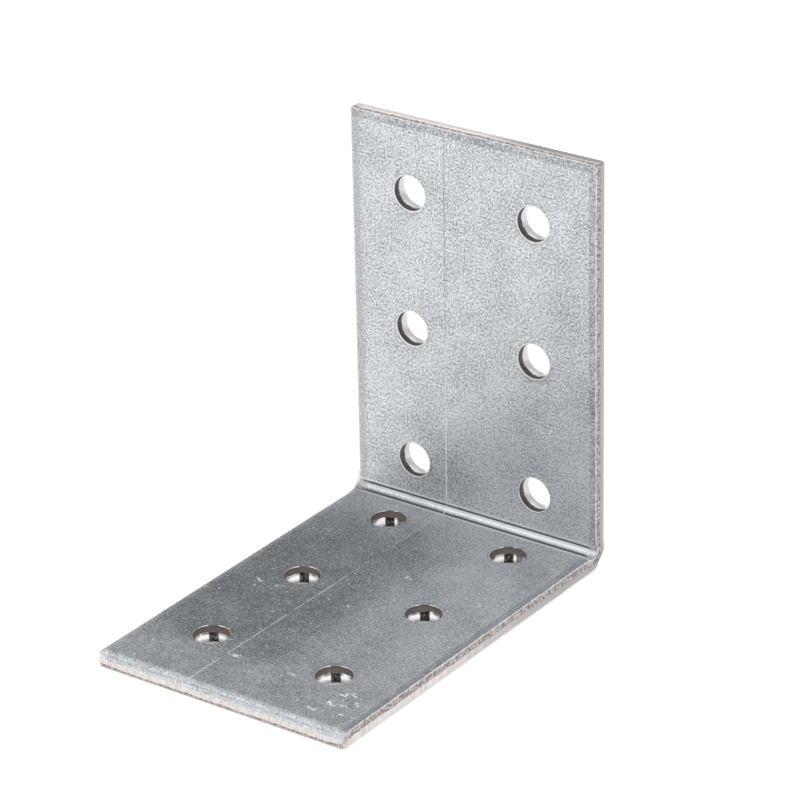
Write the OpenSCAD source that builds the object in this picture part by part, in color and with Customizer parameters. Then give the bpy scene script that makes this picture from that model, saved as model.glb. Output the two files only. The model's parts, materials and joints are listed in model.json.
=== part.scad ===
// Angle bracket folded from one piece of galvanised sheet: an upright leg and a base leg
// at a right angle, each with nail holes on a square grid. X runs along the bend and Z
// points up. The base leg lies on Z = 0 and reaches towards -Y, and the origin is the
// middle of the bracket's outline on that plane. The inner faces are the two that look
// into the angle, and the outer faces are the ones that go against the timber.

/* [Sheet] */
// Thickness of the sheet
sheet_t = 2.5; // [2:0.1:3.5]
// Width of the bracket, along the bend
bracket_w = 40; // [34:1:100]
// Height of the upright leg, from the underside to its top edge
upright_h = 59.5; // [30:0.5:160]
// Depth of the base leg, from the back face to its front edge
base_d = 60.5; // [30:0.5:160]

/* [Bend] */
// Inner radius of the bend, left by the nose of the press tool
bend_inner_r = 0.8; // [0.5:0.1:2]
// How much the outer radius exceeds the inner one plus the sheet, as the heel is stretched thin
heel_stretch = 0.9; // [0:0.1:2]
// Radius of the fine grooves that the tool's corners pressed along both sides of the bend
crease_r = 0.15; // [0.05:0.01:0.3]
// How far the squeezed inner side of the bend swells out past each end
swell_h = 0.5; // [0.1:0.05:0.8]
// How far each swelling spreads over the end face, from the inner corner
swell_reach = 2.4; // [1.5:0.1:3.5]
// How far the stretched heel is drawn in at each end
draw_in = 0.25; // [0.05:0.05:0.5]
// How far the drawn-in hollow spreads over the end face
draw_in_reach = 1.5; // [1:0.1:2]
// How far the swelling lies below the inner faces
swell_sink = 0.15; // [0.05:0.05:0.3]

/* [Nail holes] */
// Diameter of a hole
hole_d = 5; // [3:0.1:8]
// Distance between columns of holes, along the bend
column_pitch = 20; // [12:0.5:40]
// Distance between rows of holes, along each leg
row_pitch = 20; // [12:0.5:40]
// Distance from the heel's outer faces to the first row on each leg
first_row = 9; // [8:0.5:20]
// Least distance from a hole's centre to the free edges of its leg
hole_edge_min = 6; // [5:0.5:12]
// Height of the rough zone at the inner face, where the slug broke away
hole_break_h = 1; // [0.3:0.1:1.4]
// How much wider the rough zone is at the inner face, on the radius
hole_break_out = 0.06; // [0.02:0.01:0.3]
// Width of the rounded lip at the outer face, where the punch went in
hole_lip_w = 0.35; // [0.1:0.05:0.6]
// Depth of that rounded lip
hole_lip_d = 0.2; // [0.05:0.05:0.4]

/* [Sheared edges] */
// Width of the rounding at the face where the blade went in
roll_w = 0.9; // [0.3:0.1:1.5]
// Depth of that rounding
roll_d = 0.6; // [0.1:0.05:0.7]
// Height of the rough zone beside the other face, where the blank broke away
break_h = 1; // [0.4:0.1:1.2]
// How far the rough zone leans in at that face
break_in = 0.1; // [0.02:0.01:0.3]
// Depth of the rounding along the base leg's front edge, which was cut with a wider gap
front_roll_d = 0.75; // [0.1:0.05:0.85]
// Height of the rough zone along that edge
front_break_h = 0.6; // [0.4:0.1:1.2]
// Width of the shallow band that was pressed down beside the broken inner edges
band_w = 1.2; // [0.5:0.1:2]
// Depth of that band at the edge
band_d = 0.1; // [0.02:0.01:0.2]

/* [Hidden] */
zinc_grey = [0.69, 0.71, 0.73];
// Facets of a preview circle, on a bore and on a large rounding
bore_fn = 48;
round_fn = 96;
// How far a cutter reaches past the surface that it cuts
past = 1;

back_y = base_d / 2;
front_y = -base_d / 2;
inner_y = back_y - sheet_t;
// The bend turns about this line, which runs along X
bend_y = inner_y - bend_inner_r;
bend_z = sheet_t + bend_inner_r;
bend_outer_r = bend_inner_r + sheet_t + heel_stretch;
// Middle of the heel's rounding, measured in from where the outer faces would meet
heel_mid = bend_outer_r * (1 - cos(45));

// Radius of an arc or of a ball that rises by h over a half width w
function cap_r(w, h) = (w * w + h * h) / (2 * h);
// Number of holes between two margins on a given length
function fitting(length, margins, pitch) = max(0, floor((length - margins) / pitch) + 1);

hole_columns = fitting(bracket_w, 2 * hole_edge_min, column_pitch);
upright_rows = fitting(upright_h, first_row + hole_edge_min, row_pitch);
base_rows = fitting(base_d, first_row + hole_edge_min, row_pitch);

// What a rounding of width w and depth d takes from a square corner at the origin. The
// material lies at negative X and Y, and the arc leaves the upper face without a step.
module rounding(w, d) {
    difference() {
        translate([-w, -d]) square([w + past, d + past]);
        translate([-w, -cap_r(w, d)]) circle(r = cap_r(w, d), $fn = round_fn);
    }
}

// What shearing from the inner side takes from a square edge of the sheet: the rounding at
// the inner face and the leaning rough zone at the outer face, whose height is rough
module rounded_edge(depth = roll_d, rough = break_h) {
    rounding(roll_w, depth);
    polygon([
        [0, rough - sheet_t],
        [-1.5 * break_in, -sheet_t - rough / 2],
        [past, -sheet_t - rough / 2],
        [past, rough - sheet_t]
    ]);
}

// The other edge that the same kind of cut leaves, on the next blank: the rounding is at the
// outer face, the rough zone is at the inner face, and a shallow band is pressed beside it
module broken_edge() {
    translate([0, -sheet_t]) mirror([0, 1]) rounded_edge();
    polygon([
        [-band_w, 0],
        [past, -band_d * (band_w + past) / band_w],
        [past, past],
        [-band_w, past]
    ]);
}

// The sheet cut across: X is the depth from the inner face, and Y runs along the bend from
// the rounded edge to the broken one
module section() {
    difference() {
        translate([0, -bracket_w / 2]) square([sheet_t, bracket_w]);
        translate([0, bracket_w / 2]) rotate(90) broken_edge();
        mirror([0, 1]) translate([0, bracket_w / 2]) rotate(90) rounded_edge();
    }
}

// The section carried down the upright leg, round the bend and out along the base leg
module folded_sheet() {
    translate([0, inner_y, upright_h]) {
        rotate([180, 0, 90]) linear_extrude(upright_h - bend_z) section();
    }
    translate([0, bend_y, bend_z]) rotate([90, 0, 90]) rotate([0, 0, -90]) {
        rotate_extrude(angle = 90, $fn = round_fn) translate([bend_inner_r, 0]) section();
    }
    translate([0, bend_y, sheet_t]) {
        rotate([0, 90, -90]) linear_extrude(bend_y - front_y) section();
    }
}

// Carries an outline drawn in Y and Z along the bend, over a given width
module along_bend(w) {
    rotate([90, 0, 90]) linear_extrude(w, center = true) children();
}

// The core of the bend that the swellings grow from, a little below the inner faces
module bend_core() {
    arm = swell_reach + bend_z;
    side = sheet_t - 2 * swell_sink;
    sunk_r = bend_inner_r + swell_sink;
    translate([inner_y + swell_sink, swell_sink]) square([side, arm]);
    translate([back_y - swell_sink - arm, swell_sink]) square([arm, side]);
    difference() {
        translate([bend_y, sheet_t - 2 * swell_sink]) square(sunk_r + swell_sink);
        translate([bend_y, bend_z]) circle(r = sunk_r, $fn = round_fn);
    }
}

// The swelling at one end of the bend: a flat ball cap over the inner corner
module swelling() {
    cap = cap_r(swell_reach, swell_h);
    intersection() {
        along_bend(bracket_w + 2 * swell_h + past) bend_core();
        translate([bracket_w / 2 + swell_h - cap, inner_y, sheet_t]) sphere(r = cap, $fn = round_fn);
    }
}

// The hollow where the stretched heel is drawn in at one end of the bend
module heel_hollow() {
    ball = cap_r(draw_in_reach, draw_in);
    translate([bracket_w / 2 - draw_in + ball, back_y - heel_mid, heel_mid]) {
        sphere(r = ball, $fn = round_fn);
    }
}

// What the heel's rounding takes from the outer corner
module heel_rounding() {
    along_bend(bracket_w + 2 * swell_h + 2 * past) difference() {
        translate([back_y - bend_outer_r, -past]) square(bend_outer_r + past);
        translate([back_y - bend_outer_r, bend_outer_r]) circle(r = bend_outer_r, $fn = round_fn);
    }
}

// The two fine grooves beside the bend, one on each inner face
module creases() {
    for (spot = [[inner_y, bend_z], [bend_y, sheet_t]]) {
        translate([0, spot[0], spot[1]]) rotate([0, 90, 0]) {
            cylinder(r = crease_r, h = bracket_w + past, center = true, $fn = bore_fn);
        }
    }
}

// One punched hole along Z, from the outer face at Z = 0 to the inner face: a rounded lip,
// the true bore, and the wider rough zone
module nail_hole() {
    r = hole_d / 2;
    lean = hole_break_out / hole_break_h;
    rotate_extrude($fn = bore_fn) {
        translate([0, -past]) square([r, sheet_t + 2 * past]);
        intersection() {
            translate([r, 0]) rotate(180) rounding(hole_lip_w, hole_lip_d);
            translate([0, -past]) square([r + hole_lip_w, 2 * past]);
        }
        polygon([
            [0, sheet_t - hole_break_h],
            [r, sheet_t - hole_break_h],
            [r + hole_break_out + past * lean, sheet_t + past],
            [0, sheet_t + past]
        ]);
    }
}

// The grid of holes through both legs
module nail_holes() {
    for (column = [0 : 1 : hole_columns - 1]) {
        translate([(column - (hole_columns - 1) / 2) * column_pitch, 0, 0]) {
            for (row = [0 : 1 : upright_rows - 1]) {
                translate([0, back_y, first_row + row * row_pitch]) rotate([90, 0, 0]) nail_hole();
            }
            for (row = [0 : 1 : base_rows - 1]) {
                translate([0, back_y - first_row - row * row_pitch, 0]) nail_hole();
            }
        }
    }
}

// The bracket, all in one piece
module bracket() {
    color(zinc_grey) difference() {
        union() {
            folded_sheet();
            for (end = [0, 1]) {
                mirror([end, 0, 0]) swelling();
            }
        }
        heel_rounding();
        for (end = [0, 1]) {
            mirror([end, 0, 0]) heel_hollow();
        }
        creases();
        along_bend(bracket_w + past) {
            translate([inner_y, upright_h]) rotate(90) broken_edge();
            translate([front_y, sheet_t]) mirror([1, 0]) rounded_edge(front_roll_d, front_break_h);
        }
        nail_holes();
    }
}

bracket();
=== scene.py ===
# %% [markdown]
# # A folded angle bracket of galvanised sheet
#
# The bracket is one piece of 2.5 mm sheet. It was sheared to a strip, punched with twelve nail
# holes and folded once, so everything that makes it look real is a trace of those three steps:
# edges that are half smooth and half torn, holes with a bright lower wall and a dark broken
# mouth, two fine grooves where the press tool's nose bit in, and a bend that bulges at both ends.
#
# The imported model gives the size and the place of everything, so it is loaded first.

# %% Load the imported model
import json
import math

import bpy
import numpy as np
from mathutils import Matrix, Vector


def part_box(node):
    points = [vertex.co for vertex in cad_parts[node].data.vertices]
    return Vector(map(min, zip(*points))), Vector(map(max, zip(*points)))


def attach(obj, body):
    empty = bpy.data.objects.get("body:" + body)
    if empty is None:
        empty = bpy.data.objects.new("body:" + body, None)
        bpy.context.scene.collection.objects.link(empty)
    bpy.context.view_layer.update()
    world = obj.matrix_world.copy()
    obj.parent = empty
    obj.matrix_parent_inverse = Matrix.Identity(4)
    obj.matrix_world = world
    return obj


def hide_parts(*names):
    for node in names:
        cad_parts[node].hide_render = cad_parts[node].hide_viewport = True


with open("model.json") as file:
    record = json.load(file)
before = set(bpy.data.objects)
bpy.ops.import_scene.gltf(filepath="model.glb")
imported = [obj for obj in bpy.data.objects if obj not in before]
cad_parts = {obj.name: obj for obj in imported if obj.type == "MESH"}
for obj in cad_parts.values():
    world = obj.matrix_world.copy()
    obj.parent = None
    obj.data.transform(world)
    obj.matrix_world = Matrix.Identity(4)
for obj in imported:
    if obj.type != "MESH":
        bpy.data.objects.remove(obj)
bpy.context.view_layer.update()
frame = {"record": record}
MM = 0.001

# %% [markdown]
# ## The view
#
# A long lens some way off keeps the legs almost parallel, as product pictures do. The camera is
# placed by the point it looks at, its distance, and three angles: how far it stands round the
# object, how high it looks down from, and a slight lean.

# %% Camera
VIEW_TARGET = Vector((-3.26, 15.25, 24.84)) * MM
VIEW_DISTANCE = 534.9 * MM
VIEW_ROUND = math.radians(35.92)
VIEW_DOWN = math.radians(25.20)
VIEW_LEAN = math.radians(-1.21)
LENS = 179.2


def aim_camera(target, distance, around, down, lean, lens):
    """Camera at a distance from the target. Its back vector is (sin around cos down,
    -cos around cos down, sin down), and it leans about that vector."""
    back = Vector((math.sin(around) * math.cos(down), -math.cos(around) * math.cos(down), math.sin(down)))
    level = Vector((math.cos(around), math.sin(around), 0))
    upward = back.cross(level)
    right = math.cos(lean) * level + math.sin(lean) * upward
    data = bpy.data.cameras.new("camera")
    data.lens = lens
    data.sensor_width = 36
    data.clip_start = 0.05
    data.clip_end = 20
    camera = bpy.data.objects.new("camera", data)
    turn = Matrix((right, back.cross(right), back)).transposed().to_4x4()
    camera.matrix_world = Matrix.Translation(target + distance * back) @ turn
    bpy.context.scene.collection.objects.link(camera)
    bpy.context.scene.camera = camera
    return camera


camera = aim_camera(VIEW_TARGET, VIEW_DISTANCE, VIEW_ROUND, VIEW_DOWN, VIEW_LEAN, LENS)
print("camera at, mm:", [round(c / MM, 1) for c in camera.matrix_world.translation])

# %% [markdown]
# ## Shader maths as plain expressions
#
# A material is a formula. Wiring it by hand hides the formula in boxes and links, so a socket is
# wrapped in a small class that understands + - * and /. Adding two values then adds the Math
# node that does it.

# %% Sockets that calculate


class Graph:
    """A node tree, and one method that adds any node to it."""

    def __init__(self, tree):
        self.tree = tree
        self.tree.nodes.clear()

    def node(self, kind, settings=None, inputs=None, output=0):
        """Adds a node, sets its properties, then fills its sockets by name or number."""
        made = self.tree.nodes.new(kind)
        for name, value in (settings or {}).items():
            setattr(made, name, value)
        for name, value in (inputs or {}).items():
            self.feed(made.inputs[name], value)
        return Value(self, made.outputs[output]) if len(made.outputs) else made

    def feed(self, socket, value):
        """Links a value to a socket, or sets the socket's own number or colour."""
        if isinstance(value, Value):
            self.tree.links.new(value.socket, socket)
        else:
            socket.default_value = value

    def mixed(self, first, second, share):
        """Colour that goes from the first to the second as share goes from 0 to 1."""
        inputs = {0: share, 6: first, 7: second}
        return self.node("ShaderNodeMix", {"data_type": "RGBA"}, inputs, output=2)

    def grain(self, place, scale, detail, roughness, distortion=0.0):
        """Cloudy noise between 0 and 1, with scale features in each unit of place."""
        inputs = {"Vector": place, "Scale": scale, "Detail": detail, "Roughness": roughness}
        inputs["Distortion"] = distortion
        return self.node("ShaderNodeTexNoise", {}, inputs)

    def parts(self, vector):
        """The three numbers of a vector."""
        split = self.tree.nodes.new("ShaderNodeSeparateXYZ")
        self.feed(split.inputs[0], vector)
        return [Value(self, socket) for socket in split.outputs]


class Value:
    """A number that changes over the surface, with the usual operators."""

    def __init__(self, graph, socket):
        self.graph = graph
        self.socket = socket

    def math(self, operation, *others):
        """The value and the others, put through one operation of the Math node."""
        inputs = dict(enumerate((self, *others)))
        return self.graph.node("ShaderNodeMath", {"operation": operation}, inputs)

    def __add__(self, other):
        return self.math("ADD", other)

    def __sub__(self, other):
        return self.math("SUBTRACT", other)

    def __mul__(self, other):
        return self.math("MULTIPLY", other)

    def __truediv__(self, other):
        return self.math("DIVIDE", other)

    def __rsub__(self, other):
        return (self * -1) + other

    __radd__ = __add__
    __rmul__ = __mul__

    def near(self, place, width):
        """1 at the place, falling to 0 at width away on both sides."""
        return 1 - ((self - place).math("ABSOLUTE") / width).math("MINIMUM", 1.0)

    def ramp(self, start, end):
        """Smooth step from 0 at start to 1 at end."""
        settings = {"interpolation_type": "SMOOTHSTEP"}
        return self.graph.node("ShaderNodeMapRange", settings, {0: self, 1: start, 2: end})


# %% [markdown]
# ## The studio
#
# The photograph's ground is plain white with hardly a shadow. The floor here is a pale sheet of
# card. The camera, mirrors and glass see its colour brightened to white, and everything else gets
# the card's own soft bounce. The extra brightness stops under the bracket, where the card lies in
# the dark, and comes back below the nail holes of the base leg, where it is seen.

# %% Floor
FLOOR_SIZE = 6.0
FLOOR_COLOUR = (0.82, 0.82, 0.82, 1)
FLOOR_GLOW = 0.48
WHITE = (1.0, 1.0, 1.0, 1)
# The dark part under the bracket, in metres: half its width, half its depth, and its soft edge
UNDER_SIDE, UNDER_DEPTH, UNDER_FADE = 0.020, 0.030, 0.004
# Where light comes up through the nail holes: their middles, and how far it reaches
HOLE_SIDE, HOLE_FRONT, HOLE_STEP, HOLE_LIGHT = 0.010, -0.01875, 0.020, 0.0022


def seen_directly(graph):
    """1 for rays from the camera and for those that a mirror or glass sends on."""
    path = graph.tree.nodes.new("ShaderNodeLightPath")
    kinds = ("Is Camera Ray", "Is Glossy Ray", "Is Transmission Ray")
    camera_ray, glossy_ray, glass_ray = (Value(graph, path.outputs[k]) for k in kinds)
    return (camera_ray + glossy_ray + glass_ray).math("MINIMUM", 1.0)


def make_floor():
    """A flat sheet of card under the bracket. Its glow is a product: seen directly, times lit,
    times the strength, where lit is 1 beside the bracket or close to the middle of a hole."""
    half = FLOOR_SIZE / 2
    mesh = bpy.data.meshes.new("floor")
    corners = [(-half, -half, 0), (half, -half, 0), (half, half, 0), (-half, half, 0)]
    mesh.from_pydata(corners, [], [(0, 1, 2, 3)])
    floor = bpy.data.objects.new("floor", mesh)
    bpy.context.scene.collection.objects.link(floor)
    card = bpy.data.materials.new("pale_card")
    card.use_nodes = True
    graph = Graph(card.node_tree)
    across, along, _ = graph.parts(graph.node("ShaderNodeTexCoord", output="Object"))
    beside = (across.math("ABSOLUTE") - UNDER_SIDE).math("MAXIMUM", along.math("ABSOLUTE") - UNDER_DEPTH)
    from_side = across.math("ABSOLUTE") - HOLE_SIDE
    from_row = (along - HOLE_FRONT + HOLE_STEP / 2).math("WRAP", HOLE_STEP, 0.0) - HOLE_STEP / 2
    apart = from_side * from_side + from_row * from_row
    below_hole = 1 - apart.ramp(0.5 * HOLE_LIGHT ** 2, HOLE_LIGHT ** 2)
    lit = beside.ramp(-UNDER_FADE, 0.0).math("MAXIMUM", below_hole)
    glow = seen_directly(graph) * lit * FLOOR_GLOW
    bare = graph.node("ShaderNodeBsdfDiffuse", {}, {"Color": FLOOR_COLOUR})
    shine = graph.node("ShaderNodeEmission", {}, {"Color": WHITE, "Strength": glow})
    both = graph.node("ShaderNodeAddShader", {}, {0: bare, 1: shine})
    graph.node("ShaderNodeOutputMaterial", {}, {"Surface": both})
    mesh.materials.append(card)


make_floor()
print("floor: %.1f m wide, glow %.2f" % (FLOOR_SIZE, FLOOR_GLOW))

# %% [markdown]
# ## The room and the lamps
#
# Metal shows what stands round it more than its own colour. A room that is white at the horizon
# and duller higher up, most so at the back, gives the upright leg a bright floor to reflect and
# the base leg a greyer wall. Three broad lamps, in front, to the right and above, light the edges
# softly.

# %% Room and lamps
ROOM_BACK = (0.262, 0.286, 0.302, 1)
ROOM_FRONT = (0.80, 0.825, 0.84, 1)
# Where the wall goes from front to back, the white horizon ends, and the white ceiling starts
WALL_TURN, HORIZON_END, CEILING_START = (-0.5, 0.4), (0.08, 0.30), (0.50, 0.78)
LAMP_AIM = (0, 0, 0.03)
LAMPS = [
    # Name, place in metres, side of its square in metres, power in watts
    ("lamp_front", (-0.9, -1.2, 1.3), 0.9, 2.5),
    ("lamp_right", (1.4, -0.5, 0.9), 0.8, 1.5),
    ("lamp_top", (0.15, 0.1, 1.6), 1.2, 4.0),
]


def light_room():
    """World that is white at the horizon and overhead, and grey between, most so at the back."""
    world = bpy.data.worlds.new("room")
    bpy.context.scene.world = world
    world.use_nodes = True
    graph = Graph(world.node_tree)
    _, depth, height = graph.parts(graph.node("ShaderNodeTexCoord", output="Generated"))
    wall = graph.mixed(ROOM_FRONT, ROOM_BACK, depth.ramp(*WALL_TURN))
    white = 1 - height.ramp(*HORIZON_END) * (1 - height.ramp(*CEILING_START))
    colour = graph.mixed(wall, WHITE, white)
    sky = graph.node("ShaderNodeBackground", {}, {"Color": colour, "Strength": 1.0})
    graph.node("ShaderNodeOutputWorld", {}, {"Surface": sky})


def hang_lamp(name, place, aim, size, power):
    """A square area lamp that faces a point."""
    data = bpy.data.lights.new(name, "AREA")
    data.shape = "SQUARE"
    data.size = size
    data.energy = power
    lamp = bpy.data.objects.new(name, data)
    lamp.location = place
    lamp.rotation_euler = (Vector(aim) - Vector(place)).to_track_quat("-Z", "Y").to_euler()
    bpy.context.scene.collection.objects.link(lamp)


light_room()
for name, place, size, power in LAMPS:
    hang_lamp(name, place, LAMP_AIM, size, power)
bpy.context.scene.view_settings.view_transform = "Standard"
print("lamps: %d, watts in all: %.1f" % (len(LAMPS), sum(power for *_, power in LAMPS)))

# %% [markdown]
# ## The flat blank and its fold
#
# A folded part is easiest to describe before it is folded. Each point has three blank
# coordinates in millimetres: w across the strip, s down its length from the top edge of the
# upright leg, and v into the sheet from the inner face. One function then folds any point:
# the stretch before the bend goes straight down, the bend turns a quarter circle, and the rest
# runs straight out. Holes and edges are drawn flat, where they are simple, and fold with it.

# %% The blank and its fold
SHEET = 2.5
WIDTH = 40.0
BEND_RADIUS = 0.8
HEEL_STRETCH = 0.9
HEEL_FADE = 2.3
box_low, box_high = (np.array(corner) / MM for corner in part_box("bracket"))
front_y, back_y, top_z = box_low[1], box_high[1], box_high[2]
bend_y = back_y - SHEET - BEND_RADIUS
bend_z = SHEET + BEND_RADIUS
heel_radius = SHEET + BEND_RADIUS + HEEL_STRETCH
bend_start = top_z - bend_z
bend_end = bend_start + BEND_RADIUS * math.pi / 2
blank_length = bend_end + bend_y - front_y
print("blank, mm: %.1f wide, %.1f long" % (WIDTH, blank_length))
print("bend, mm: from %.2f to %.2f" % (bend_start, bend_end))


def fold(w, s, v):
    """Blank to object, mm. turn = (s - bend start) / inner radius, kept between 0 and 90 degrees.
    Inner face = bend centre + inner radius (cos turn, -sin turn), plus what is left of s before
    or after the bend. Outer face = the same with the heel's larger radius. v goes between them."""
    turn = np.clip((s - bend_start) / BEND_RADIUS, 0, math.pi / 2)
    above = np.clip(bend_start - s, 0, None)
    beyond = np.clip(s - bend_end, 0, None)
    inner_y = bend_y + BEND_RADIUS * np.cos(turn) - beyond
    inner_z = bend_z - BEND_RADIUS * np.sin(turn) + above
    outer_above = above - HEEL_STRETCH * np.minimum(above / HEEL_FADE, 1)
    outer_beyond = beyond - HEEL_STRETCH * np.minimum(beyond / HEEL_FADE, 1)
    outer_y = back_y - heel_radius + heel_radius * np.cos(turn) - outer_beyond
    outer_z = heel_radius - heel_radius * np.sin(turn) + outer_above
    depth = v / SHEET
    return w, inner_y + (outer_y - inner_y) * depth, inner_z + (outer_z - inner_z) * depth


# %% [markdown]
# ## Patches
#
# The skin is a set of patches, and each patch is a stack of rows with the same number of points.
# A patch keeps three more numbers a point, which the finish reads later: how far the point is
# from the rim of a hole, and whether it is on a cut face and on its torn part. Neighbouring
# patches use the very same border points, so welding them means finding equal coordinates.

# %% Patches of skin
FAR = 50.0
patches = []


def add_patch(w, s, v, rim=FAR, cut=0.0, torn=0.0, closed=False, turned=False):
    """Keeps (rows, columns) arrays of points, and the two triangles between each four of them."""
    shape = np.shape(w)
    fields = [np.broadcast_to(np.asarray(field, float), shape) for field in (w, s, v, rim, cut, torn)]
    rows = np.arange(shape[0] - 1)[:, None]
    columns = np.arange(shape[1] if closed else shape[1] - 1)[None, :]
    here = rows * shape[1] + columns
    beside = rows * shape[1] + (columns + 1) % shape[1]
    below, across = here + shape[1], beside + shape[1]
    halves = np.stack([here, below, across, here, across, beside], -1).reshape(-1, 3)
    patches.append((np.stack(fields, -1).reshape(-1, 6), halves[:, ::-1] if turned else halves))


def ragged(along, total, step, draw):
    """Uneven line: random heights from -1 to 1 a step apart, joined by straight lines. The last
    height is the first again, so the line closes after the total."""
    count = max(3, round(total / step))
    heights = draw.uniform(-1, 1, count + 1)
    heights[-1] = heights[0]
    return np.interp(along, np.linspace(0, total, count + 1), heights)


# %% [markdown]
# ## Where the patches meet
#
# Each hole has a cell of sheet round it, and the cells tile both legs. The bend has rows of its
# own, close together where the tool's grooves are. A margin along all four edges is left for the
# sheared profile, which needs far finer points than the flat middle.

# %% Cells, bend rows and margin
MARGIN = 2.3
SIDE_STEPS = 32
GROOVE_RADIUS = 0.15
LIP_PLACE, LIP_REACH, LIP_HEIGHT = 0.36, 0.20, 0.035
GROOVE_OFFSETS = np.array([
    -2.3, -1.3, -0.75, -0.56, -0.50, -0.44, -0.38, -0.32, -0.26, -0.20, -0.15, -0.12, -0.08, -0.04,
    0, 0.04, 0.08, 0.12, 0.15, 0.19, 0.32, 0.48,
])

bores = [mount for mount in frame["record"]["mounts"] if mount["kind"] == "bore"]
hole_radius = bores[0]["dims"]["r_mm"]


def hole_place(mount):
    """Centre of a hole on the blank: across, and down the strip, whichever leg it is in."""
    x, y, z = (c / MM for c in mount["pos_m"])
    upright = abs(mount["axis"][1]) > 0.5
    return (round(x, 4), round(top_z - z if upright else bend_end + bend_y - y, 4))


hole_places = sorted({hole_place(mount) for mount in bores})
hole_columns = sorted({w for w, s in hole_places})
hole_rows = sorted({s for w, s in hole_places})
upright_rows = [s for s in hole_rows if s < bend_start]
base_rows = [s for s in hole_rows if s > bend_end]


def cell_stops(low, centres, high):
    """Stops from the low to the high end, the same number in each cell. Two cells meet halfway
    between their holes."""
    borders = [low] + [(a + b) / 2 for a, b in zip(centres, centres[1:])] + [high]
    runs = [np.linspace(a, b, SIDE_STEPS + 1)[:-1] for a, b in zip(borders, borders[1:])]
    return np.concatenate(runs + [borders[-1:]])


bend_middle = (bend_start + bend_end) / 2
bend_rows = np.concatenate([bend_start + GROOVE_OFFSETS, [bend_middle], bend_end - GROOVE_OFFSETS[::-1]])
column_stops = cell_stops(MARGIN - WIDTH / 2, hole_columns, WIDTH / 2 - MARGIN)
upright_stops = cell_stops(MARGIN, upright_rows, bend_rows[0])
base_stops = cell_stops(bend_rows[-1], base_rows, blank_length - MARGIN)
print("holes:", len(hole_places), "columns", hole_columns, "rows", hole_rows)
print("rows in the bend:", len(bend_rows))

# %% [markdown]
# ## A punched hole
#
# The punch enters from the outer face. It drags a rounded lip down with it, cuts a smooth bright
# wall for about half the thickness, and then the slug breaks away, which leaves a rough and
# slightly wider mouth with a raised rim at the inner face. The profile below is that wall, from
# the inner face to the outer one, and a ring of points carries it round the hole. From the rim
# the rings open out to the square border of the cell.

# %% The wall of a punched hole
RING_STEPS = 4 * SIDE_STEPS
# The first step of a ring points at the first corner of its cell
FIRST_ANGLE = -0.75 * math.pi
FACE_SHARES = (1, 0.65, 0.35, 0.12)
HOLE_PROFILE = [
    # Distance out from the bore, depth, on the cut, on its torn part
    (0.28, 0.00, 0, 0), (0.15, -0.02, 0, 0), (0.08, -0.035, 0, 0), (0.03, -0.015, 1, 0),
    (0.01, 0.08, 1, 1), (0.01, 0.30, 1, 1), (0.01, 0.55, 1, 1), (0.01, 0.80, 1, 1),
    (0.01, 0.99, 1, 1), (0.00, 1.04, 1, 0), (0.00, 1.60, 1, 0), (0.00, 2.26, 1, 0),
    (0.04, 2.38, 1, 0), (0.11, 2.45, 0, 0), (0.22, 2.49, 0, 0), (0.36, 2.50, 0, 0),
]


def punched_wall(draw):
    """Angles of the steps round a hole, then radius, depth, cut and torn for every row of the
    profile. Radius = bore + distance out + teeth. The chips move the torn border and the rim."""
    angle = np.arange(RING_STEPS) / RING_STEPS * 2 * math.pi + FIRST_ANGLE
    around = (angle - FIRST_ANGLE) * hole_radius
    total = 2 * math.pi * hole_radius
    out, depth, cut, torn = (np.array(column)[:, None] for column in zip(*HOLE_PROFILE))
    chips = 0.6 * ragged(around, total, 0.5, draw) + 0.4 * ragged(around, total, 0.2, draw)
    grain = np.stack([ragged(around + 0.12 * row, total, 0.3, draw) for row in range(len(out))])
    middle = torn * (depth > 0.1)
    radius = hole_radius + out + 0.03 * middle * (0.6 + grain) + 0.012 * torn * chips[None, :]
    border_row = (depth > 0.9) & (depth < 1.1)
    depth = depth + 0.16 * border_row * chips + np.where(depth < 0, 0.5 * depth * chips, 0)
    return angle, radius, depth, cut, torn


print("rows in the wall of a hole:", len(HOLE_PROFILE), "points in a ring:", RING_STEPS)

# %% [markdown]
# ## Twelve holes in their cells
#
# Every hole was punched by the same tool but tore in its own way, so each cell gets the wall above
# with fresh random numbers.

# %% Punched holes


def cell_border(across, down):
    """Points round the border of a cell, along its four sides in turn."""
    w = [across[:-1], np.full(SIDE_STEPS, across[-1]), across[:0:-1], np.full(SIDE_STEPS, across[0])]
    s = [np.full(SIDE_STEPS, down[0]), down[:-1], np.full(SIDE_STEPS, down[-1]), down[:0:-1]]
    return np.concatenate(w), np.concatenate(s)


def hole_cell(centre, across, down, draw):
    """One hole in its cell. A ring at distance r from the centre is centre + r (cos a, sin a),
    and a face ring is share x border + (1 - share) x rim."""
    border_w, border_s = cell_border(across, down)
    angle, radius, depth, cut, torn = punched_wall(draw)
    ring_w = centre[0] + radius * np.cos(angle)
    ring_s = centre[1] + radius * np.sin(angle)
    shares = np.array(FACE_SHARES)[:, None]
    inner_w, outer_w = (shares * border_w + (1 - shares) * ring_w[row] for row in (0, -1))
    inner_s, outer_s = (shares * border_s + (1 - shares) * ring_s[row] for row in (0, -1))
    w = np.concatenate([inner_w, ring_w, outer_w[::-1]])
    s = np.concatenate([inner_s, ring_s, outer_s[::-1]])
    face = np.zeros((len(shares), RING_STEPS))
    v = np.concatenate([face, np.broadcast_to(depth, ring_w.shape), face + SHEET])
    marks = [np.concatenate([face, np.broadcast_to(mark, ring_w.shape), face]) for mark in (cut, torn)]
    rim = np.hypot(w - centre[0], s - centre[1]) - hole_radius
    add_patch(w, s, v, rim, *marks, closed=True)


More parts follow.
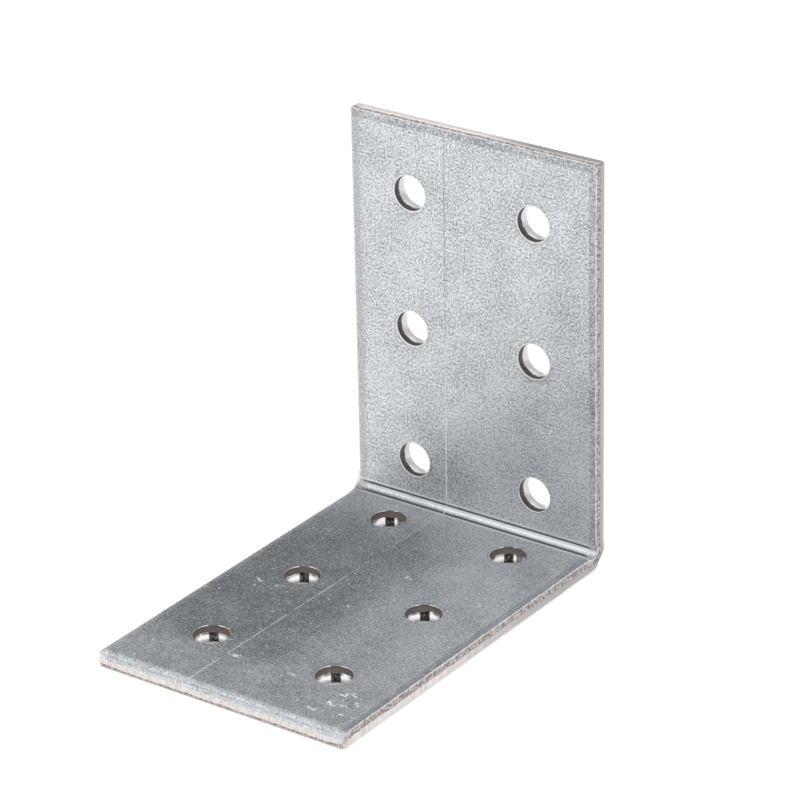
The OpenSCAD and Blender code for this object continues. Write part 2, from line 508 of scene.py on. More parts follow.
def legs_with_holes():
    """Every cell of both legs, found from its row and column of stops."""
    draw = np.random.default_rng(4)
    for stops, rows in ((upright_stops, upright_rows), (base_stops, base_rows)):
        for row, s in enumerate(rows):
            for column, w in enumerate(hole_columns):
                across = column_stops[column * SIDE_STEPS:(column + 1) * SIDE_STEPS + 1]
                down = stops[row * SIDE_STEPS:(row + 1) * SIDE_STEPS + 1]
                hole_cell((w, s), across, down, draw)


legs_with_holes()
print("hole cells:", len(patches))

# %% [markdown]
# ## The bend
#
# Two sheets of rows and columns, one on each face, join the legs. The nose of the press tool
# leaves a fine groove along both sides of the bend. It fades out before the ends, where the
# squeezed metal swells outwards. The heel on the other face is stretched and drawn in.

# %% Bend
# How far the grooves stop short of the ends, and over what length they fade
GROOVE_SHORT, GROOVE_FADE = 0.75, 0.9
# Radius of the ball whose cap is the swelling or the hollow, and its height, mm
SWELL_BALL, SWELL_OUT, SWELL_SHARE = 6.01, 0.5, 0.868
HOLLOW_BALL, HOLLOW_IN = 4.625, 0.25
heel_mid = heel_radius * (1 - math.cos(math.pi / 4))
bend_w, bend_s = np.meshgrid(column_stops, bend_rows)
add_patch(bend_w, bend_s, np.zeros_like(bend_w))
add_patch(bend_w, bend_s, np.full_like(bend_w, SHEET), turned=True)


def groove_depth(w, s):
    """Depth of the two grooves, each the lower part of a circle: sqrt(r^2 - offset^2), less the
    height of the lip of squeezed metal beside it: height (1 - (offset - place)^2 / reach^2)^2.
    Both fade out towards the ends of the bend."""
    near = np.minimum(np.abs(s - bend_start), np.abs(s - bend_end))
    beside = np.maximum(bend_start - s, s - bend_end)
    lip = LIP_HEIGHT * np.clip(1 - ((beside - LIP_PLACE) / LIP_REACH) ** 2, 0, None) ** 2
    ends = np.clip((WIDTH / 2 - GROOVE_SHORT - np.abs(w)) / GROOVE_FADE, 0, 1)
    return (np.sqrt(np.clip(GROOVE_RADIUS ** 2 - near ** 2, 0, None)) - lip) * ends


def end_bulge(w, s, v):
    """Sideways shift of the points at the ends of the bend: out by a flat ball cap over the inner
    corner, in by another over the heel, both fading with the square of the distance inwards."""
    _, y, z = fold(w, s, v)
    from_corner = np.hypot(y - (back_y - SHEET), z - SHEET)
    from_heel = np.hypot(y - (back_y - heel_mid), z - heel_mid)
    cap = SWELL_OUT - SWELL_BALL + np.sqrt(np.clip(SWELL_BALL ** 2 - from_corner ** 2, 0, None))
    hollow = HOLLOW_IN - HOLLOW_BALL + np.sqrt(np.clip(HOLLOW_BALL ** 2 - from_heel ** 2, 0, None))
    inwards = np.clip(1 - (WIDTH / 2 - np.abs(w)) / MARGIN, 0, 1) ** 2
    return np.sign(w) * inwards * (SWELL_SHARE * np.clip(cap, 0, None) - np.clip(hollow, 0, None))


print("points on each face of the bend: %d rows of %d" % bend_w.shape)

# %% [markdown]
# ## The sheared edges
#
# Shears leave the same marks as a punch, laid out straight: a rounding where the blade went in,
# a smooth burnished band, and a torn band where the metal gave way. The strips were cut one after
# the other, so the left side and the front edge have their rounding on the inner face, and the
# right side and the top edge have it on the outer face. On those two the inner face also has a
# shallow pressed band with a crisp border. One profile of each kind is carried round the outline,
# and they blend into each other at two of the corners.

# %% Profiles of the sheared edges
ROLL_WIDTH, ROLL_DEPTH, FRONT_ROLL_DEPTH = 0.9, 0.6, 0.75
# Depth at which the torn band begins below the pressed one
TORN_START = 0.24


def roll(shares, depth):
    """Points of the rounding: an arc that leaves the face without a step, given by its share.
    Its radius is (width^2 + depth^2) / (2 depth)."""
    radius = (ROLL_WIDTH ** 2 + depth ** 2) / (2 * depth)
    reach = np.array(shares) * math.asin(min(ROLL_WIDTH / radius, 1))
    return radius * np.sin(reach) - ROLL_WIDTH, radius - radius * np.cos(reach)


def rounded_profile(roll_depth, bare_from, torn_from):
    """Rounding at the inner face, burnish, torn band at the outer face. Rows of distance past
    the outline, depth, on the cut, torn. The zinc is drawn down to where the bare steel begins."""
    out, depth = roll((0.1, 0.3, 0.5, 0.7, 0.85, 1), roll_depth)
    rows = [(-MARGIN, 0, 0, 0), (-1.7, 0, 0, 0), (-1.25, 0, 0, 0), (-ROLL_WIDTH - 0.08, 0, 0, 0)]
    rows += [(o, d, 0, 0) for o, d in zip(out, depth)]
    rows += [(0, bare_from - 0.04, 0, 0), (0, bare_from + 0.04, 1, 0), (0, torn_from - 0.05, 1, 0)]
    for share in (0, 0.2, 0.42, 0.65, 0.86):
        rows += [(-0.1 * share, torn_from + (SHEET - torn_from) * share, 1, 1)]
    rows += [(-0.12, SHEET - 0.04, 1, 1), (-0.17, SHEET, 0, 0), (-0.35, SHEET, 0, 0)]
    rows += [(-0.8, SHEET, 0, 0), (-1.5, SHEET, 0, 0), (-MARGIN, SHEET, 0, 0)]
    return np.array(rows)


def broken_profile(torn_to):
    """Pressed band and torn band at the inner face, burnish, rounding at the outer face, in the
    same kind of rows. torn_to is the depth that the torn band reaches."""
    out, depth = roll((1, 0.85, 0.65, 0.45, 0.25, 0), ROLL_DEPTH)
    rows = [(-MARGIN, 0, 0, 0), (-1.7, 0, 0, 0), (-1.27, 0, 0, 0), (-1.21, 0.005, 0, 0)]
    rows += [(-1.12, 0.035, 0, 0), (-0.7, 0.062, 0, 0), (-0.35, 0.084, 0, 0), (-0.2, 0.08, 0, 0)]
    rows += [(-0.15, 0.045, 0, 0), (-0.1, 0.06, 1, 0), (-0.09, 0.16, 1, 0)]
    for share in (0, 0.4, 0.75, 0.95):
        rows += [(-0.075 * (1 - share), TORN_START + (torn_to - TORN_START) * share, 1, 1)]
    rows += [(0, torn_to + 0.03, 1, 0), (0, 1.5, 1, 0)]
    rows += [(o, SHEET - d, share, 0) for o, d, share in zip(out, depth, (1, 0.5, 0, 0, 0, 0))]
    rows += [(-MARGIN, SHEET, 0, 0)]
    return np.array(rows)


left_profile = rounded_profile(ROLL_DEPTH, bare_from=0.75, torn_from=1.5)
front_profile = rounded_profile(FRONT_ROLL_DEPTH, bare_from=1.15, torn_from=1.96)
right_profile = broken_profile(torn_to=1.04)
top_profile = broken_profile(torn_to=0.62)
print("rows in the profiles:", len(left_profile), len(front_profile), len(right_profile))

# %% [markdown]
# ## Round the outline
#
# The outline is walked once: along the top edge, down the left side, along the front and up the
# right side. Every step has an inboard point on the border of the cells and an outline point at
# the edge, and the profile's distances are laid off between the two. At a corner the inboard
# points are all the same one, so the rows fan round it, and the outline is eased by a small
# radius. Three fine steps share each coarse border point.

# %% Edges all round
FINE = 3
CORNER_RADIUS = 0.5
CORNER_STEPS = 26


def finer(stops, parts):
    """Stops with each step cut into parts, and for each of them the nearest of the old stops."""
    share = np.arange((len(stops) - 1) * parts) / parts
    index = np.arange(len(stops))
    return np.interp(share, index, stops), stops[np.round(share - 1e-6).astype(int)]


def corner_outline(corner, start, end):
    """Outline round one corner: straight, an arc, straight. start and end are the directions
    from the inboard corner to the two edges that meet."""
    start, end = np.array(start, float), np.array(end, float)
    eased = MARGIN - CORNER_RADIUS
    straight = eased * np.linspace(0, 1, CORNER_STEPS // 3, endpoint=False)[:, None]
    angle = np.linspace(0, math.pi / 2, CORNER_STEPS - 2 * (CORNER_STEPS // 3))[:, None]
    first = MARGIN * start + straight * end
    arc = eased * (start + end) + CORNER_RADIUS * (start * np.cos(angle) + end * np.sin(angle))
    last = MARGIN * end + straight[::-1] * start
    return corner + np.concatenate([first, arc, last])


side_parts = [finer(upright_stops, FINE), finer(bend_rows, 1), finer(base_stops, FINE)]
side_fine, side_coarse = (np.concatenate([part[i] for part in side_parts]) for i in (0, 1))
across_fine, across_coarse = finer(column_stops, FINE)
inboard_w, inboard_s = WIDTH / 2 - MARGIN, blank_length - MARGIN


def side_run(fine, coarse, along, fixed, outwards, backwards):
    """Inboard points, their coarse partners and outline points of one straight side."""
    if backwards:
        last = {"s": inboard_s, "w": inboard_w}[along]
        fine, coarse = np.append(fine[1:], last)[::-1], np.append(coarse[1:], last)[::-1]
    order = {"w": 1, "s": -1}[along]
    fine, coarse = (np.stack([run, np.full(len(run), fixed)][::order], -1) for run in (fine, coarse))
    return fine, coarse, fine + MARGIN * np.array(outwards, float)


def corner_run(w, s, start, end):
    """The same three for a corner, where both inboard points are the corner itself."""
    outline = corner_outline(np.array([w, s]), start, end)
    inboard = np.broadcast_to([w, s], outline.shape)
    return inboard, inboard, outline


runs = [
    (side_run(across_fine, across_coarse, "w", MARGIN, (0, -1), True), top_profile, top_profile),
    (corner_run(-inboard_w, MARGIN, (0, -1), (-1, 0)), top_profile, left_profile),
    (side_run(side_fine, side_coarse, "s", -inboard_w, (-1, 0), False), left_profile, left_profile),
    (corner_run(-inboard_w, inboard_s, (-1, 0), (0, 1)), left_profile, front_profile),
    (side_run(across_fine, across_coarse, "w", inboard_s, (0, 1), False), front_profile, front_profile),
    (corner_run(inboard_w, inboard_s, (0, 1), (1, 0)), front_profile, right_profile),
    (side_run(side_fine, side_coarse, "s", inboard_w, (1, 0), True), right_profile, right_profile),
    (corner_run(inboard_w, MARGIN, (1, 0), (0, -1)), right_profile, top_profile),
]
print("steps in each side and corner:", [len(run[0]) for run, _, _ in runs])

# %% [markdown]
# ## Torn edges
#
# Torn steel is never straight. Ragged lines laid along the outline let its border wander by a
# tenth of a millimetre, roughen it and make the burr's crest uneven. A slanted saw line cuts fine
# teeth into it.

# %% Edges as one closed patch
# Share of each ragged line in the chips, and the step between its points, mm
CHIP_LINES = ((0.5, 0.6), (0.3, 0.25), (0.3, 3.1))
TOOTH_STEP, TOOTH_CUT, TORN_GRAIN = 0.62, 0.045, 0.025
SLANT, ROW_GAP = 0.7, 0.25
BORDER_WANDER, CREST_DROP = 0.13, 0.035


def blended_profile(count, first, last):
    """The profile at each step of a run, from the first kind to the last, smoothly."""
    share = np.linspace(0, 1, count)[:, None, None]
    share = share * share * (3 - 2 * share)
    return first[None] * (1 - share) + last[None] * share


def edges_all_round():
    """One closed patch: point = inboard + (1 + out / margin) (outline - inboard). The teeth are
    the fraction of (along + 0.8 depth) / step, so they slant."""
    inboard, coarse, outline = (np.concatenate([run[0][i] for run in runs]) for i in range(3))
    profile = np.concatenate([blended_profile(len(run[0][0]), run[1], run[2]) for run in runs])
    out, depth, cut, torn = profile.transpose(2, 1, 0)
    steps = np.hypot(*(np.roll(outline, -1, 0) - outline).T)
    along, total = np.cumsum(steps) - steps, steps.sum()
    draw = np.random.default_rng(11)
    chips = sum(height * ragged(along, total, step, draw) for height, step in CHIP_LINES)
    rows = range(len(out))
    slanted = [ragged((along + SLANT * row * ROW_GAP) % total, total, 0.33, draw) for row in rows]
    tooth = ((along[None, :] + 0.8 * depth) / TOOTH_STEP + 0.25 * ragged(along, total, 1.7, draw)) % 1
    torn_middle = torn * ((depth > 0.12) & (depth < SHEET - 0.05))
    out = out - torn_middle * (TOOTH_CUT * tooth + TORN_GRAIN * (1 + np.stack(slanted)) / 2)
    changes = (cut > 0.9) & (np.abs(np.gradient(torn, axis=0)) > 0.2)
    depth = depth + BORDER_WANDER * (changes & (depth > 0.4) & (depth < 2.1)) * chips
    crest = (depth > 0.03) & (depth < 0.07) & (out > -0.18)
    depth = depth - CREST_DROP * crest * (1 + ragged(along, total, 0.9, draw))
    place = inboard[None] + (1 + out / MARGIN)[:, :, None] * (outline - inboard)[None]
    place[[0, -1]] = coarse
    add_patch(place[..., 0], place[..., 1], depth, FAR, cut, torn, closed=True)
    return total


print("outline, mm: %.1f" % edges_all_round())

# %% [markdown]
# ## Weld, fold and hand over
#
# Points that have the same blank coordinates become one. Then the grooves are pressed, the ends
# of the bend bulge, and the blank is folded. The blank coordinates and the marks go along with
# the mesh as attributes, so that the finish can follow the sheet round its bend.

# %% The finished skin
def weld(fields, faces):
    """One row for each place that is met more than once, and no face that has lost a corner."""
    places = np.round(fields[:, :3], 5)
    _, first, number = np.unique(places, axis=0, return_index=True, return_inverse=True)
    faces = number.reshape(-1)[faces]
    whole = (faces[:, 0] != faces[:, 1]) & (faces[:, 1] != faces[:, 2]) & (faces[:, 2] != faces[:, 0])
    return fields[first], faces[whole]


def keep_attribute(mesh, name, values):
    """Puts three numbers a point into the mesh, for the finish to read."""
    layer = mesh.attributes.new(name, "FLOAT_VECTOR", "POINT")
    layer.data.foreach_set("vector", np.ascontiguousarray(values, dtype=np.float32).ravel())


def build_skin():
    """The bracket's mesh object."""
    starts = np.cumsum([0] + [len(fields) for fields, _ in patches[:-1]])
    fields = np.concatenate([fields for fields, _ in patches])
    faces = np.concatenate([faces + start for (_, faces), start in zip(patches, starts)])
    fields, faces = weld(fields, faces)
    w, s, v, rim, cut, torn = fields.T
    pressed = v + np.where(v < 0.02, groove_depth(w, s), 0)
    places = np.stack(fold(w + end_bulge(w, s, v), s, pressed), -1)
    mesh = bpy.data.meshes.new("folded_sheet")
    mesh.from_pydata((places * MM).tolist(), [], faces.tolist())
    mesh.shade_smooth()
    keep_attribute(mesh, "blank", fields[:, :3])
    keep_attribute(mesh, "marks", np.stack([rim, cut, torn], -1))
    skin = bpy.data.objects.new("folded_sheet", mesh)
    bpy.context.scene.collection.objects.link(skin)
    return skin


def report_skin(mesh):
    """Prints the count of triangles, the open edges and the volume of the mesh."""
    corners = np.empty(len(mesh.polygons) * 3, dtype=np.int32)
    mesh.polygons.foreach_get("vertices", corners)
    places = np.empty(len(mesh.vertices) * 3, dtype=np.float32)
    mesh.vertices.foreach_get("co", places)
    faces, places = corners.reshape(-1, 3), places.reshape(-1, 3).astype(float) / MM
    sides = np.sort(np.concatenate([faces[:, [0, 1]], faces[:, [1, 2]], faces[:, [2, 0]]]), axis=1)
    _, uses = np.unique(sides, axis=0, return_counts=True)
    a, b, c = (places[faces[:, i]] for i in range(3))
    volume = np.einsum("ij,ij->i", a, np.cross(b, c)).sum() / 6
    print("triangles %d, sides not shared by two %d" % (len(faces), (uses != 2).sum()))
    print("volume %.0f mm3" % volume)


skin = build_skin()
report_skin(skin.data)
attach(skin, "root")
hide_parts("bracket")

# %% [markdown]
# ## The finish, read from the blank
#
# Hot-dip zinc on thin strip is grey with a very fine speckle. On the cut faces there is no zinc:
# the burnished band is bright bare steel, and the torn band is dull and brownish. One material
# holds all of it, because it is one piece of metal, and it is read from the two attributes, so
# the pattern runs round the bend without a seam. The masks come first. A mask is 1 where its
# name holds and 0 elsewhere, so the product of two masks holds where both do.

# %% Masks on the blank
BAND_WIDTH = 1.2
HALF = WIDTH / 2

material = bpy.data.materials.new("galvanised_sheet")
material.use_nodes = True
graph = Graph(material.node_tree)
blank = graph.node("ShaderNodeAttribute", {"attribute_name": "blank"}, output="Vector")
marks = graph.node("ShaderNodeAttribute", {"attribute_name": "marks"}, output="Vector")
w, s, v = graph.parts(blank)
rim, cut, torn = graph.parts(marks)
leftwards = w * -1
coated = 1 - cut
inner_face = 1 - v.ramp(0.1, 0.3)
on_base = s.ramp(bend_end, bend_end + 1.0)
in_hole = 1 - rim.ramp(0.3, 0.45)
# Distance from the nearer of the right and the top edge
edge = (HALF - w).math("MINIMUM", s)
band = (1 - edge.ramp(BAND_WIDTH - 0.08, BAND_WIDTH + 0.05)) * inner_face * coated
front_roll = s.ramp(blank_length - 1.1, blank_length - 0.6)
print("nodes so far:", len(graph.tree.nodes))

# %% [markdown]
# ## Grain and tone of the zinc
#
# The crystals of the coat are smaller than half a millimetre, and each faces a slightly different
# way, so the speckle is a change of tone. One number says how light a spot is: a middle tone, plus
# noises that vary about 0, less stains and dark specks. The press smoothed the bend and the
# pressed band, so the speckle is calmer there.

# %% Speckle, stains and specks
GRAINS_PER_MM = 3.3
MIDDLE_TONE = 0.59

fine = graph.grain(blank, GRAINS_PER_MM, 2.0, 0.65)
coarse = graph.grain(blank, 0.9, 3.0, 0.6)
cloud = graph.grain(blank, 0.16, 3.0, 0.55)
on_bend = s.ramp(bend_start, bend_start + 0.2) * (1 - s.ramp(bend_end - 0.2, bend_end))
speckle = (fine - 0.5) * (1 - band * (0.15 + on_base * 0.4)) * (1 - on_bend * 0.5)
speckle = speckle * (1 - front_roll * 0.25) * (1 - on_base * 0.25)
stains = graph.grain(blank, 0.45, 4.0, 0.7, 1.5).ramp(0.6, 0.75) * (0.14 + on_base * 0.14)
specks = graph.grain(blank, 4.3, 0.0, 0.5).ramp(0.68, 0.80) * (0.5 - on_base * 0.2) * (1 - band)
tone = MIDDLE_TONE + speckle * 2.9 + (coarse - 0.5) * 0.5 + (cloud - 0.5) * 0.6 - stains - specks
print("grains in a mm: %.1f, middle tone %.2f" % (GRAINS_PER_MM, MIDDLE_TONE))

# %% [markdown]
# ## Lighter and darker places
#
# Some places are painted lighter, as painted highlights: the lips beside the grooves, the start of
# the bend and the rounded left edge of the base leg. The coat low on the right of the upright is
# painted lighter too, a painted reflection of the base leg. The pressed band, the ground round each
# hole and the middle of the base leg are darker. The grooves are painted dark, as painted shade, and
# along the rounded left edge the zinc is so thin that the steel shows through.

# %% Colour of the zinc
ZINC_DARK = (0.218, 0.228, 0.240, 1)
ZINC_LIGHT = (0.74, 0.755, 0.779, 1)
GROOVE_SHADE_AND_SCRIBE_DARK = (0.07, 0.07, 0.073, 1)
ZINC_ROLLED = (0.36, 0.335, 0.325, 1)
BURNISHED = (0.80, 0.735, 0.71, 1)

# Painted highlight: the lips beside the grooves and the start of the bend are painted lighter.
painted_lip_highlight = s.near(bend_start - 0.40, 0.25) * 0.8 + s.near(bend_end + 0.55, 0.35) * 0.5
painted_lip_highlight = (painted_lip_highlight + s.near(bend_start + 0.35, 0.45) * 0.35) * inner_face
# Painted highlight along the rounded left edge of the base leg.
rounded_edge_highlight = leftwards.ramp(HALF - 1.9, HALF - 0.3) * coated * on_base
# Painted reflection: low on the right the upright is painted lighter, for the base leg it reflects.
low_right_reflection = s.ramp(30.0, 46.0) * (1 - on_base) * w.ramp(-8.0, 4.0)
middle = (1 - w.ramp(-3.0, 8.0)) * (1 - s.ramp(blank_length - 14.0, blank_length - 5.0))
middle = middle * s.ramp(bend_end + 2.0, bend_end + 14.0) * on_base
round_hole = (1 - rim.ramp(0.1, 0.75)) * coated
tone = tone + painted_lip_highlight + rounded_edge_highlight * 0.4 + low_right_reflection * 0.19
tone = tone - on_base * 0.025 - middle * 0.37 - band * 0.24 - round_hole * 0.16
colour = graph.mixed(ZINC_DARK, ZINC_LIGHT, tone.math("MAXIMUM", 0.0).math("MINIMUM", 1.0))

# Painted shade: the two grooves are painted dark. The same dark colour also marks the scribed line.
upper_groove = 1 - (s - bend_start).math("ABSOLUTE").ramp(0.06, 0.19)
lower_groove = 1 - (s - bend_end - 0.05).math("ABSOLUTE").ramp(0.14, 0.40)
short_of_ends = 1 - w.math("ABSOLUTE").ramp(HALF - 1.6, HALF - 0.7)
groove = upper_groove.math("MAXIMUM", lower_groove) * inner_face * short_of_ends
colour = graph.mixed(colour, GROOVE_SHADE_AND_SCRIBE_DARK, groove)
rolled = leftwards.ramp(HALF - 2.3, HALF - 1.3) * coated * (1 - on_base)
colour = graph.mixed(colour, ZINC_ROLLED, rolled * (0.25 + coarse * 0.5))
colour = graph.mixed(colour, BURNISHED, leftwards.ramp(HALF - 0.70, HALF - 0.40) * coated * 0.7)
print("nodes so far:", len(graph.tree.nodes))

# %% [markdown]
# ## A scribed line
#
# Strip that slides over rollers gets marked. One fine line runs down the whole strip, not quite
# parallel to its sides: dark and broken at first, and bright further on, where the metal was
# rubbed bare. It is the place where w is close to start + slope times s, and a cloud bends it.

# %% Scribed line
SCRIBE_START, SCRIBE_SLOPE, SCRIBE_WIDTH = -4.25, -0.0078, 0.14

scribe_place = SCRIBE_START + s * SCRIBE_SLOPE + (cloud - 0.5) * 0.2
scribe = 1 - (w - scribe_place).math("ABSOLUTE").ramp(0.3 * SCRIBE_WIDTH, SCRIBE_WIDTH)
scribe = scribe * inner_face * coated * coarse.ramp(0.3, 0.5)
dashes = graph.grain(blank, 0.7, 2.0, 0.6).ramp(0.42, 0.58)
dark_part = (1 - s.ramp(22.0, 34.0)) * s.ramp(1.2, 1.8)
colour = graph.mixed(colour, GROOVE_SHADE_AND_SCRIBE_DARK, scribe * dark_part * (0.2 + dashes * 0.4))
bright_again = s.ramp(bend_end + 12.0, bend_end + 30.0) * 0.35
nicks = scribe * (s.ramp(25.0, 50.0) * (1 - on_base * 0.7 + bright_again)) * 0.8
print("scribed line, mm from the middle: %.2f" % (SCRIBE_START + SCRIBE_SLOPE * blank_length))

# %% [markdown]
# ## Nicks and scuffs
#
# Brackets lie loose in a box and knock against each other. Short bright nicks lie where they were
# seen, as places on the blank, and a noise bends them, so that none is a ruled dash. The smallest
# scuffs are only the peaks of that noise. The raised rim of each hole is painted bright, a painted
# highlight, more on the upright leg than on the base.

# %% Nicks and scuffs
NICK_AND_HIGHLIGHT_BRIGHT = (0.95, 0.95, 0.96, 1)
WANDER = 2.2
# Start and end of each nick across and down the blank, and half its width
NICKS = [
    ((13.6, 106.9), (14.6, 106.3), 0.20),
    ((14.6, 105.8), (15.7, 106.1), 0.17),
    ((13.2, 108.9), (14.3, 109.4), 0.20),
    ((14.9, 108.9), (16.1, 108.9), 0.20),
    ((16.5, 107.4), (17.4, 108.2), 0.18),
    ((12.4, 111.7), (13.4, 111.7), 0.20),
    ((16.5, 110.8), (17.1, 110.7), 0.19),
    ((-14.8, 87.0), (-13.7, 87.5), 0.19),
    ((-4.6, 106.0), (-3.4, 105.8), 0.17),
    ((4.6, 105.9), (5.8, 105.8), 0.14),
    ((2.1, 75.8), (3.0, 76.3), 0.16),
    ((14.0, 76.9), (15.0, 77.3), 0.18),
    ((11.6, 40.7), (12.8, 40.4), 0.13),
    ((-11.3, 87.3), (-10.9, 87.4), 0.20),
    ((-7.3, 93.5), (-6.9, 93.6), 0.20),
]


def short_line(across, down, start, end, width):
    """1 on a short straight line and 0 beyond its width. The distance from the line is the one
    from its nearest point: start + (end - start) times a share from 0 to 1."""
    run_w, run_s = end[0] - start[0], end[1] - start[1]
    share = ((across - start[0]) * run_w + (down - start[1]) * run_s) / (run_w ** 2 + run_s ** 2)
    share = share.math("MAXIMUM", 0.0).math("MINIMUM", 1.0)
    away_w = across - start[0] - share * run_w
    away_s = down - start[1] - share * run_s
    return 1 - (away_w * away_w + away_s * away_s).ramp((0.4 * width) ** 2, width ** 2)


uneven = graph.grain(blank, 1.5, 2.0, 0.6)
wander_w = w + (graph.grain(blank, 1.1, 2.0, 0.6) - 0.5) * WANDER
wander_s = s + (uneven - 0.5) * WANDER
for start, end, width in NICKS:
    nick = short_line(wander_w, wander_s, start, end, width) * fine.ramp(0.36, 0.5)
    nicks = nicks.math("MAXIMUM", nick)
scuffs = uneven.ramp(0.65, 0.71) * s.ramp(bend_end + 3.0, bend_end + 12.0)
nicks = nicks.math("MAXIMUM", scuffs * fine.ramp(0.40, 0.5) * 0.8) * inner_face
colour = graph.mixed(colour, NICK_AND_HIGHLIGHT_BRIGHT, nicks * 0.8)
# Painted highlight on the raised rim of each hole.
painted_rim_highlight = rim.near(0.12, 0.12) * coated * inner_face
colour = graph.mixed(colour, NICK_AND_HIGHLIGHT_BRIGHT, painted_rim_highlight * (0.7 - on_base * 0.5))
print("nicks:", len(NICKS))

# %% [markdown]
# ## Burnished steel
#
# The blade pressed against this part of the cut, so it is smooth, streaked and slightly warm. The
# streaks are noise that is stretched through the thickness. The top edge, which faces up, is
# painted brightest, a painted highlight from the light above. Flecks of zinc were drawn down over
# the front edge. The right side is painted darker towards the upright, a painted shade for the
# darker floor that it reflects there.

# %% Burnished bands
BURNISHED_STREAK = (0.62, 0.565, 0.545, 1)
BURNISHED_TOP_LIT = (0.96, 0.885, 0.86, 1)
BURNISHED_FLECK = (0.50, 0.49, 0.49, 1)
BURNISHED_SHADED = (0.40, 0.38, 0.37, 1)
HOLE_WALL = (0.90, 0.885, 0.87, 1)

stretched = graph.node("ShaderNodeCombineXYZ", {}, {0: w, 1: s, 2: v * 0.15})
streak = graph.grain(stretched, 1.6, 2.0, 0.5)
burnish = graph.mixed(BURNISHED, BURNISHED_STREAK, streak.ramp(0.4, 0.7))
at_front = s.ramp(blank_length - 0.4, blank_length - 0.2)
burnish = graph.mixed(burnish, HOLE_WALL, at_front * 0.25)
flecks = at_front * fine.ramp(0.46, 0.64) * (1 - v.ramp(1.4, 1.9))
burnish = graph.mixed(burnish, BURNISHED_FLECK, flecks * 0.8)
# Painted highlight: the top edge is painted brightest.
burnish = graph.mixed(burnish, BURNISHED_TOP_LIT, 1 - s.ramp(0.15, 0.35))
# Painted shade: the right side darkens towards the upright.
right_side_shade = (1 - s.ramp(bend_end + 8.0, blank_length - 16.0)) * v.ramp(0.6, 0.9) * w.ramp(0.0, HALF / 2)
burnish = graph.mixed(burnish, BURNISHED_SHADED, right_side_shade * 0.9)
print("nodes so far:", len(graph.tree.nodes))

# %% [markdown]
# ## Walls of the holes
#
# The lower wall of a hole is the brightest steel of all. In the base leg one or two dark bars are
# painted down the rear wall, a painted reflection of the shaded floor under the hole. A bar is where
# the distance sideways from the middle of the nearest hole is close to the bar's own.

# %% Hole walls
PAINTED_REFLECTION_DARK = (0.015, 0.014, 0.014, 1)
# Sideways direction across and down the blank, then middle, inner and outer half width of a bar
SIDE_W, SIDE_S = 0.81, 0.587
FIRST_BAR, SECOND_BAR = (0.17, 0.58, 0.72), (1.62, 0.36, 0.48)
ROW_STEP = base_rows[1] - base_rows[0]

from_w = (w.math("ABSOLUTE") - hole_columns[-1]) * w.math("SIGN")
from_s = (s - base_rows[0] + ROW_STEP / 2).math("WRAP", ROW_STEP, 0.0) - ROW_STEP / 2
sideways = from_w * SIDE_W - from_s * SIDE_S
on_rear = 1 - (from_w * SIDE_S + from_s * SIDE_W).ramp(-0.6, 0.2)
first_bar, second_bar = (
    1 - (sideways - place).math("ABSOLUTE").ramp(inner, outer)
    for place, inner, outer in (FIRST_BAR, SECOND_BAR))
in_first_row = 1 - s.ramp(base_rows[0] + 4.0, base_rows[0] + 9.0)
# Painted reflection: dark bars on the rear walls of the base leg's holes.
painted_reflection_bars = (first_bar + second_bar * in_first_row * 0.8) * on_base * on_rear * (0.6 + fine * 0.7)
wall = graph.mixed(HOLE_WALL, PAINTED_REFLECTION_DARK, painted_reflection_bars.math("MINIMUM", 1.0))
print("holes of the base leg, mm apart: %.1f" % ROW_STEP)

# %% [markdown]
# ## Torn steel
#
# Where the metal gave way it is made of small chips. They are dull and brownish with paler ones
# between them, palest at the far edge of the cut, and dark in the mouths of the holes, where
# little light gets in.

# %% Torn bands, and the metal under the zinc
TORN_EDGE = (0.27, 0.228, 0.218, 1)
TORN_EDGE_PALE = (0.60, 0.55, 0.535, 1)
TORN_LOW = (0.66, 0.56, 0.53, 1)
TORN_HOLE = (0.10, 0.085, 0.08, 1)
TORN_HOLE_BASE = (0.24, 0.195, 0.18, 1)
TORN_SHADE = (0.085, 0.075, 0.07, 1)

chips = graph.grain(blank, 2.2, 3.0, 0.7)
torn_edge = graph.mixed(TORN_EDGE, TORN_EDGE_PALE, chips.ramp(0.44, 0.56))
torn_edge = graph.mixed(torn_edge, TORN_LOW, v.ramp(2.22, 2.34))
torn_hole = graph.mixed(TORN_HOLE, TORN_HOLE_BASE, on_base * 0.75 + chips.ramp(0.5, 0.66) * 0.4)
torn_hole = graph.mixed(torn_hole, TORN_HOLE_BASE, v.ramp(0.35, 0.9) * chips.ramp(0.4, 0.6) * 0.7)
shaded = (1 - v.ramp(0.1, 0.5)) * chips.ramp(0.35, 0.6)
torn_hole = graph.mixed(torn_hole, TORN_SHADE, shaded * 0.6)
bare = graph.mixed(graph.mixed(burnish, wall, in_hole), graph.mixed(torn_edge, torn_hole, in_hole), torn)
colour = graph.mixed(colour, bare, cut)
print("nodes so far:", len(graph.tree.nodes))

# %% [markdown]
# ## The burr
#
# A thin burr stands up along the right and the top edge, where the metal tore. Its crest is painted
# bright, a painted highlight, fainter lower down the upright. It has broken off here and there,
# which leaves short dark gaps in the bright line.

# %% Burr
BURR_HIGHLIGHT = (0.90, 0.90, 0.905, 1)

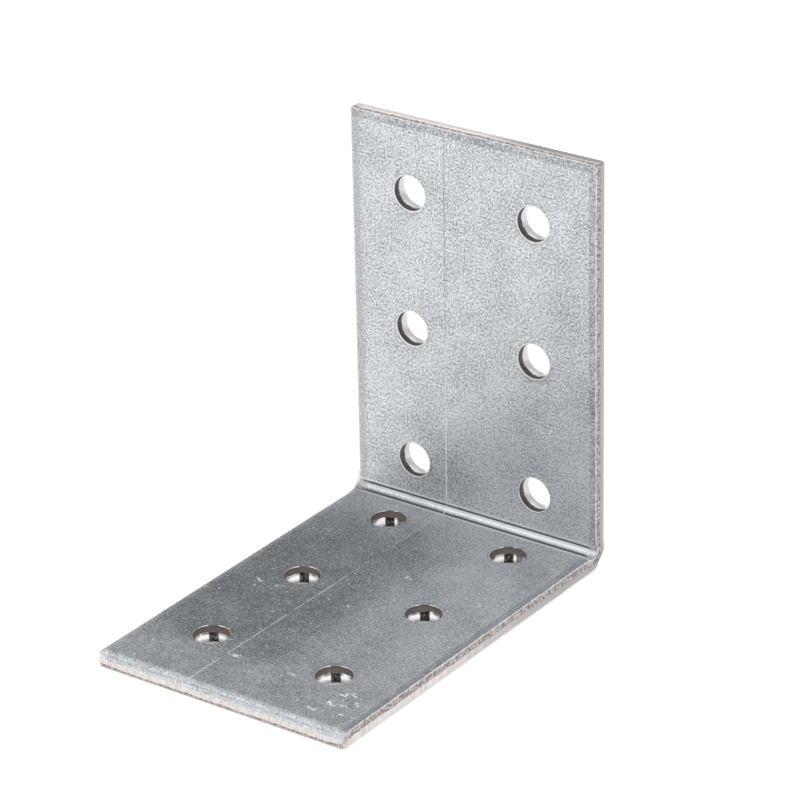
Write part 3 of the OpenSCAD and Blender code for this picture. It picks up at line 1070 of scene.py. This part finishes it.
on_crest = 1 - v.ramp(0.14, 0.20)
gaps = (1 - edge.ramp(0.20, 0.28)) * on_crest * (1 - chips.ramp(0.42, 0.54))
colour = graph.mixed(colour, TORN_EDGE, gaps * 0.6)
# Painted highlight along the crest of the burr.
burr_highlight = (1 - edge.ramp(0.16, 0.24)) * on_crest * coarse.ramp(0.3, 0.45)
burr_highlight = burr_highlight * (1 - s.ramp(18.0, 36.0) * (1 - on_base) * 0.55) * (0.3 + chips.ramp(0.40, 0.56) * 0.7)
colour = graph.mixed(colour, BURR_HIGHLIGHT, burr_highlight * 0.85)
print("nodes so far:", len(graph.tree.nodes))

# %% [markdown]
# ## Roughness, metal and bump
#
# Zinc is a metal with a soft gloss. Burnished steel is treated as half metal, because its fine
# streaks scatter the light, and the torn steel is nearly matt. The bump is only a hundredth of a
# millimetre deep, because every form that can be seen is already in the mesh.

# %% Galvanised sheet with bare cut edges
ZINC_ROUGHNESS, SMOOTH_ROUGHNESS, TORN_ROUGHNESS = 0.42, 0.30, 0.62
BUMP_DEPTH = 0.000011

smooth_cut, torn_cut = (1 - torn) * cut, torn * cut
roughness = (ZINC_ROUGHNESS + (coarse - 0.5) * 0.22 + nicks * 0.2) * coated
roughness = roughness + smooth_cut * (SMOOTH_ROUGHNESS - in_hole * 0.20) + torn_cut * TORN_ROUGHNESS
metal = 1 - torn_cut * 0.45 - smooth_cut * (1 - in_hole) * 0.55 - nicks * 0.7 - burr_highlight * 0.3
metal = metal - smooth_cut * in_hole * (1 - on_base) * 0.8
height = (fine * (1 - band * 0.7) + coarse * 0.8) * (1 - front_roll * 0.5) * coated
height = height + torn_cut * chips * 4 + smooth_cut * streak * 0.6 - scribe * 1.6 + nicks * 0.8
bump = graph.node("ShaderNodeBump", {}, {"Strength": 1.0, "Distance": BUMP_DEPTH, "Height": height})
inputs = {"Base Color": colour, "Metallic": metal, "Roughness": roughness, "Normal": bump}
surface = graph.node("ShaderNodeBsdfPrincipled", {}, inputs)
graph.node("ShaderNodeOutputMaterial", {}, {"Surface": surface})
skin.data.materials.append(material)
print("nodes in all:", len(graph.tree.nodes))
